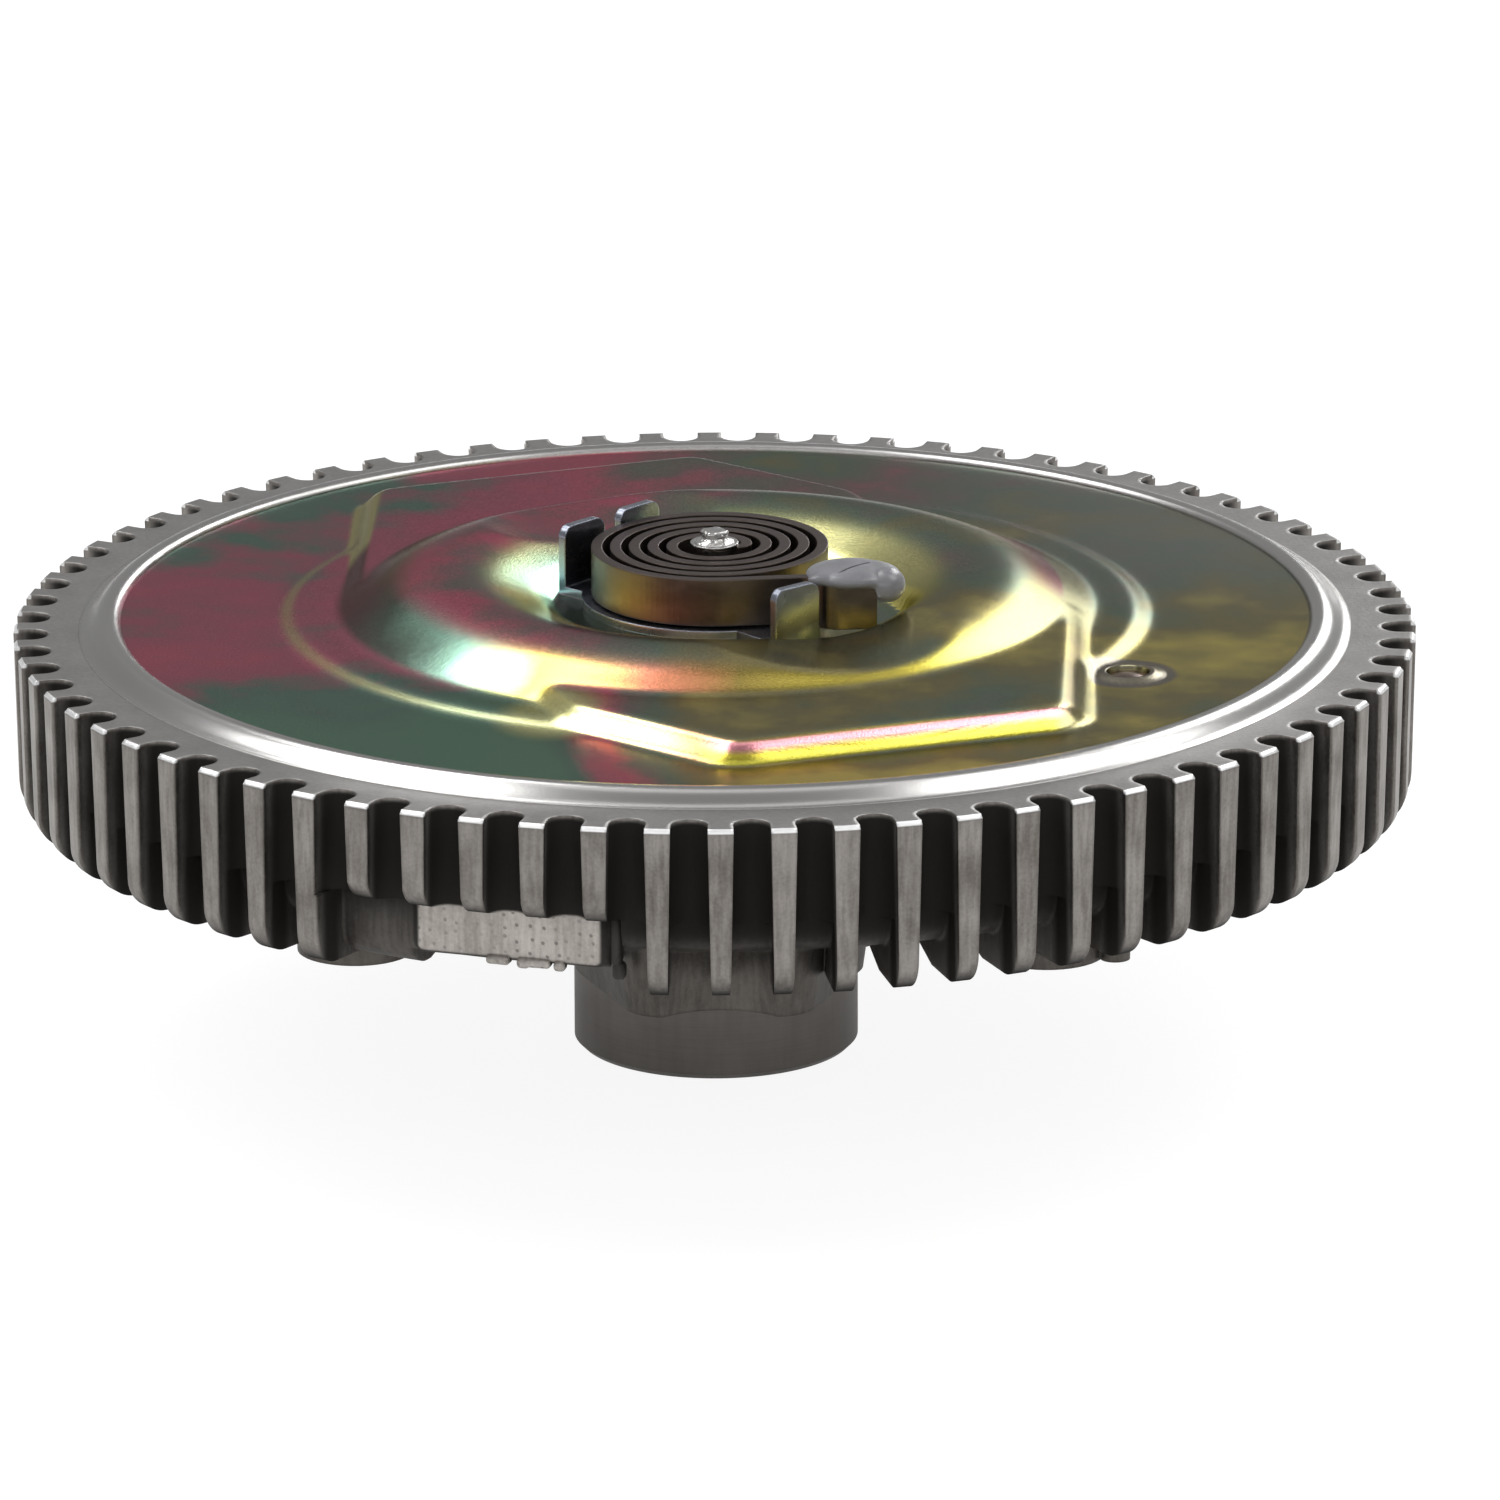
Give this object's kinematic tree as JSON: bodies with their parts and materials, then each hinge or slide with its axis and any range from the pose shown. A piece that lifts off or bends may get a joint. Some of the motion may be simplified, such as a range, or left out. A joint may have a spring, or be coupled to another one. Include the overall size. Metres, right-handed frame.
{
  "type": "viscous fan clutch",
  "caption": "Viscous fan clutch: finned aluminium housing on a shaft with a threaded hub, stamped cover and a bimetal coil that turns the oil valve.",
  "frame": {"origin": "centre of the hub's seat face, on the shaft's axis", "axes": "+Z along the shaft from the threaded hub to the cover; -Y at the side with the broad front boss"},
  "size_m": [0.19, 0.19, 0.072],
  "materials": {
    "cast_aluminium": "satin as cast",
    "passivated_zinc": "iridescent yellow passivated zinc",
    "plug_steel": "satin",
    "seal_rubber": "matte",
    "sheet_steel": "satin",
    "bright_steel": "turned, bright",
    "bush_bronze": "sintered",
    "bimetal": "dark oxidised strip",
    "bracket_zinc": "zinc plated",
    "silicone": "cured translucent silicone",
    "hub_steel": "turned, oiled",
    "rotor_aluminium": "machined",
    "spring_steel": "phosphated",
    "bearing_steel": "ground",
    "shield_steel": "pressed"
  },
  "bodies": {
    "drive": {"shaft": "hub_steel", "rotor": "rotor_aluminium", "rotor_clip": "spring_steel", "bearing_inner_ring": "bearing_steel"},
    "cage": {"bearing_cage": "shield_steel", "bearing_balls": "bearing_steel"},
    "case": {"housing": "cast_aluminium", "cover": "passivated_zinc", "fill_plug": "plug_steel", "cover_seal": "seal_rubber", "pump_plate": "sheet_steel", "wipers": "sheet_steel", "wiper_rivets": "sheet_steel", "spindle_bush": "bush_bronze", "spindle_seal": "seal_rubber", "bimetal_coil": "bimetal", "coil_bracket": "bracket_zinc", "coil_silicone": "silicone", "bearing_circlip": "spring_steel", "bearing_outer_ring": "bearing_steel", "bearing_shield_rear": "shield_steel", "bearing_shield_front": "shield_steel"},
    "valve": {"valve_arm": "sheet_steel", "valve_spindle": "bright_steel", "coil_washer": "bright_steel"}
  },
  "joints": [
    {"name": "case_spin", "type": "hinge", "parent": "drive", "child": "case", "pos_m": [0, 0, 0.0307], "axis": [0, 0, 1], "continuous": true},
    {"name": "cage_spin", "type": "hinge", "parent": "drive", "child": "cage", "pos_m": [0, 0, 0.0307], "axis": [0, 0, 1], "continuous": true},
    {"name": "valve_turn", "type": "hinge", "parent": "case", "child": "valve", "pos_m": [0, 0, 0.0625], "axis": [0, 0, 1], "range_deg": [0, 32], "stiffness_Nm_per_rad": 0.05, "deforming": ["bimetal_coil"]}
  ],
  "couplings": [
    {"joint": "cage_spin", "follows": "case_spin", "ratio": 0.6031}
  ]
}
